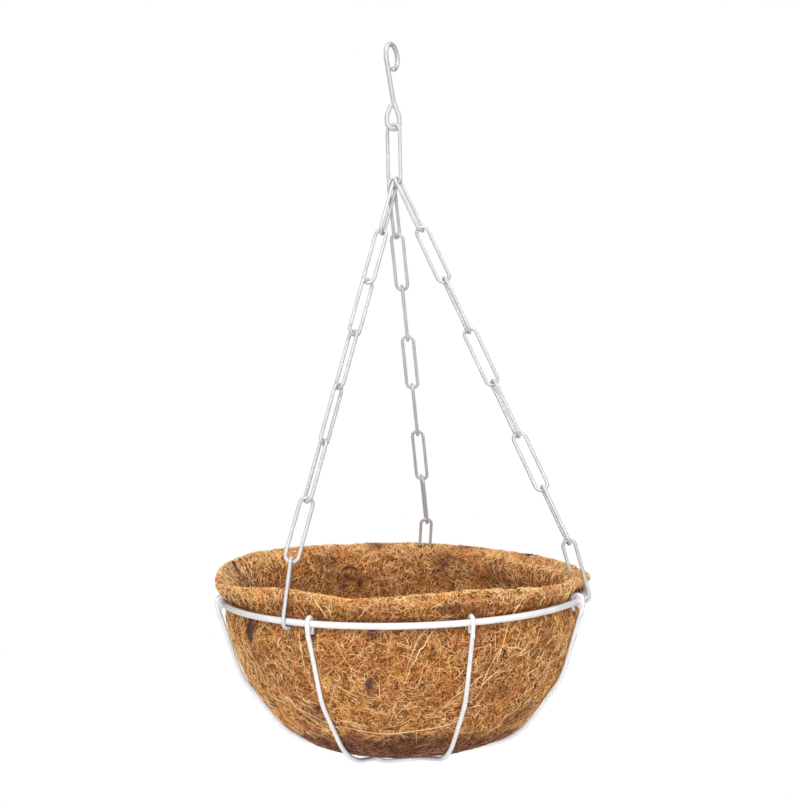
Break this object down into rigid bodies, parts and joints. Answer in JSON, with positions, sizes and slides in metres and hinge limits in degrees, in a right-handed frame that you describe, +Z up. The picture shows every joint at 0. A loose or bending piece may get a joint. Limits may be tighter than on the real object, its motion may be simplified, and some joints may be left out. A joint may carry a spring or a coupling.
{
  "type": "hanging basket",
  "caption": "Round wire hanging basket with a moulded coir liner, hung from a twisted wire hook by chains of long oval links that hook over the basket's top ring.",
  "frame": {"origin": "the point inside the top of the hook's crook where it bears on the bracket or hook it hangs from, on the basket's vertical centre line", "axes": "+Z up along the basket's centre line; the side with the widest gap between two chains faces -Y"},
  "size_m": [0.3052, 0.3052, 0.5932],
  "materials": {
    "coated_wire": "white plastic coating on steel wire, satin",
    "coir": "matted coconut fibre bonded with latex, matt"
  },
  "bodies": {
    "hanger_hook": {"hanger_hook": "coated_wire"},
    "master_link": {"master_link": "coated_wire"},
    "basket": {"top_ring": "coated_wire", "rib_hoop_1": "coated_wire", "rib_hoop_2": "coated_wire", "rib_hoop_3": "coated_wire", "rib_hoop_4": "coated_wire", "coco_liner": "coir"},
    "chain_a_link_1": {"chain_a_link_1": "coated_wire"},
    "chain_a_link_2": {"chain_a_link_2": "coated_wire"},
    "chain_a_link_3": {"chain_a_link_3": "coated_wire"},
    "chain_a_link_4": {"chain_a_link_4": "coated_wire"},
    "chain_a_link_5": {"chain_a_link_5": "coated_wire"},
    "chain_a_link_6": {"chain_a_link_6": "coated_wire"},
    "chain_a_link_7": {"chain_a_link_7": "coated_wire"},
    "chain_a_end_hook": {"chain_a_end_hook": "coated_wire"},
    "chain_b_link_1": {"chain_b_link_1": "coated_wire"},
    "chain_b_link_2": {"chain_b_link_2": "coated_wire"},
    "chain_b_link_3": {"chain_b_link_3": "coated_wire"},
    "chain_b_link_4": {"chain_b_link_4": "coated_wire"},
    "chain_b_link_5": {"chain_b_link_5": "coated_wire"},
    "chain_b_link_6": {"chain_b_link_6": "coated_wire"},
    "chain_b_link_7": {"chain_b_link_7": "coated_wire"},
    "chain_b_end_hook": {"chain_b_end_hook": "coated_wire"},
    "chain_c_link_1": {"chain_c_link_1": "coated_wire"},
    "chain_c_link_2": {"chain_c_link_2": "coated_wire"},
    "chain_c_link_3": {"chain_c_link_3": "coated_wire"},
    "chain_c_link_4": {"chain_c_link_4": "coated_wire"},
    "chain_c_link_5": {"chain_c_link_5": "coated_wire"},
    "chain_c_link_6": {"chain_c_link_6": "coated_wire"},
    "chain_c_link_7": {"chain_c_link_7": "coated_wire"},
    "chain_c_end_hook": {"chain_c_end_hook": "coated_wire"}
  },
  "joints": [
    {"name": "master_link_swing", "type": "hinge", "parent": "hanger_hook", "child": "master_link", "pos_m": [0, 0, -0.0678], "axis": [0.9063, 0.4226, 0], "range_deg": [-45, 45]},
    {"name": "basket_swing", "type": "hinge", "parent": "master_link", "child": "basket", "pos_m": [0, 0, -0.1143], "axis": [0.7716, -0.6361, 0], "range_deg": [-15, 15]},
    {"name": "chain_a_link_1_swing", "type": "hinge", "parent": "master_link", "child": "chain_a_link_1", "pos_m": [0, 0, -0.1143], "axis": [0.7716, -0.6361, 0], "range_deg": [-15, 15]},
    {"name": "chain_a_link_2_fold", "type": "hinge", "parent": "chain_a_link_1", "child": "chain_a_link_2", "pos_m": [-0.01084, -0.01465, -0.15324], "axis": [-0.9007, 0.4258, 0.086], "range_deg": [0, 30]},
    {"name": "chain_a_link_3_fold", "type": "hinge", "parent": "chain_a_link_2", "child": "chain_a_link_3", "pos_m": [-0.02321, -0.0318, -0.19789], "axis": [-0.9007, 0.4258, 0.086], "range_deg": [0, 30]},
    {"name": "chain_a_link_4_fold", "type": "hinge", "parent": "chain_a_link_3", "child": "chain_a_link_4", "pos_m": [-0.03407, -0.04686, -0.23712], "axis": [-0.654, 0.749, -0.1064], "range_deg": [0, 30]},
    {"name": "chain_a_link_5_fold", "type": "hinge", "parent": "chain_a_link_4", "child": "chain_a_link_5", "pos_m": [-0.04644, -0.064, -0.28177], "axis": [-0.654, 0.749, -0.1064], "range_deg": [0, 30]},
    {"name": "chain_a_link_6_fold", "type": "hinge", "parent": "chain_a_link_5", "child": "chain_a_link_6", "pos_m": [-0.05731, -0.07906, -0.32099], "axis": [-0.5758, 0.8039, -0.1492], "range_deg": [0, 30]},
    {"name": "chain_a_link_7_fold", "type": "hinge", "parent": "chain_a_link_6", "child": "chain_a_link_7", "pos_m": [-0.06968, -0.0962, -0.36564], "axis": [-0.5758, 0.8039, -0.1492], "range_deg": [0, 30]},
    {"name": "chain_a_end_hook_fold", "type": "hinge", "parent": "chain_a_link_7", "child": "chain_a_end_hook", "pos_m": [-0.08129, -0.1123, -0.40758], "axis": [-0.952, -0.0817, 0.2951], "range_deg": [0, 30]},
    {"name": "chain_b_link_1_swing", "type": "hinge", "parent": "master_link", "child": "chain_b_link_1", "pos_m": [0, 0, -0.1143], "axis": [0.7716, -0.6361, 0], "range_deg": [-15, 15]},
    {"name": "chain_b_link_2_fold", "type": "hinge", "parent": "chain_b_link_1", "child": "chain_b_link_2", "pos_m": [0.00086, 0.02003, -0.15168], "axis": [0.9848, -0.1738, 0.0084], "range_deg": [0, 30]},
    {"name": "chain_b_link_3_fold", "type": "hinge", "parent": "chain_b_link_2", "child": "chain_b_link_3", "pos_m": [0.00484, 0.04044, -0.19649], "axis": [0.9848, -0.1738, 0.0084], "range_deg": [0, 30]},
    {"name": "chain_b_link_4_fold", "type": "hinge", "parent": "chain_b_link_3", "child": "chain_b_link_4", "pos_m": [0.00834, 0.05838, -0.23586], "axis": [0.9848, -0.1738, 0.0084], "range_deg": [0, 30]},
    {"name": "chain_b_link_5_fold", "type": "hinge", "parent": "chain_b_link_4", "child": "chain_b_link_5", "pos_m": [0.01233, 0.07879, -0.28067], "axis": [0.9848, -0.1738, 0.0084], "range_deg": [0, 30]},
    {"name": "chain_b_link_6_fold", "type": "hinge", "parent": "chain_b_link_5", "child": "chain_b_link_6", "pos_m": [0.01583, 0.09672, -0.32004], "axis": [0.9848, -0.1738, 0.0084], "range_deg": [0, 30]},
    {"name": "chain_b_link_7_fold", "type": "hinge", "parent": "chain_b_link_6", "child": "chain_b_link_7", "pos_m": [0.01981, 0.11713, -0.36484], "axis": [0.9848, -0.1738, 0.0084], "range_deg": [0, 30]},
    {"name": "chain_b_end_hook_fold", "type": "hinge", "parent": "chain_b_link_7", "child": "chain_b_end_hook", "pos_m": [0.02331, 0.13506, -0.40421], "axis": [0.998, 0.0209, -0.0591], "range_deg": [0, 30]},
    {"name": "chain_c_link_1_swing", "type": "hinge", "parent": "master_link", "child": "chain_c_link_1", "pos_m": [0, 0, -0.1143], "axis": [0.7716, -0.6361, 0], "range_deg": [-15, 15]},
    {"name": "chain_c_link_2_fold", "type": "hinge", "parent": "chain_c_link_1", "child": "chain_c_link_2", "pos_m": [0.02131, -0.00921, -0.15394], "axis": [-0.4483, -0.8913, -0.0678], "range_deg": [0, 30]},
    {"name": "chain_c_link_3_fold", "type": "hinge", "parent": "chain_c_link_2", "child": "chain_c_link_3", "pos_m": [0.03841, -0.0148, -0.19345], "axis": [0.093, -0.9795, 0.1789], "range_deg": [0, 30]},
    {"name": "chain_c_link_4_fold", "type": "hinge", "parent": "chain_c_link_3", "child": "chain_c_link_4", "pos_m": [0.05786, -0.02116, -0.23841], "axis": [0.093, -0.9795, 0.1789], "range_deg": [0, 30]},
    {"name": "chain_c_link_5_fold", "type": "hinge", "parent": "chain_c_link_4", "child": "chain_c_link_5", "pos_m": [0.07495, -0.02676, -0.27791], "axis": [0.1881, -0.9579, 0.217], "range_deg": [0, 30]},
    {"name": "chain_c_link_6_fold", "type": "hinge", "parent": "chain_c_link_5", "child": "chain_c_link_6", "pos_m": [0.0944, -0.03312, -0.32287], "axis": [0.1881, -0.9579, 0.217], "range_deg": [0, 30]},
    {"name": "chain_c_link_7_fold", "type": "hinge", "parent": "chain_c_link_6", "child": "chain_c_link_7", "pos_m": [0.11149, -0.03871, -0.36236], "axis": [0.0451, -0.9862, 0.1591], "range_deg": [0, 30]},
    {"name": "chain_c_end_hook_fold", "type": "hinge", "parent": "chain_c_link_7", "child": "chain_c_end_hook", "pos_m": [0.13094, -0.04507, -0.40732], "axis": [0.0451, -0.9862, 0.1591], "range_deg": [0, 30]}
  ],
  "couplings": [
    {"joint": "chain_a_link_1_swing", "follows": "basket_swing", "ratio": 1},
    {"joint": "chain_b_link_1_swing", "follows": "basket_swing", "ratio": 1},
    {"joint": "chain_c_link_1_swing", "follows": "basket_swing", "ratio": 1}
  ]
}
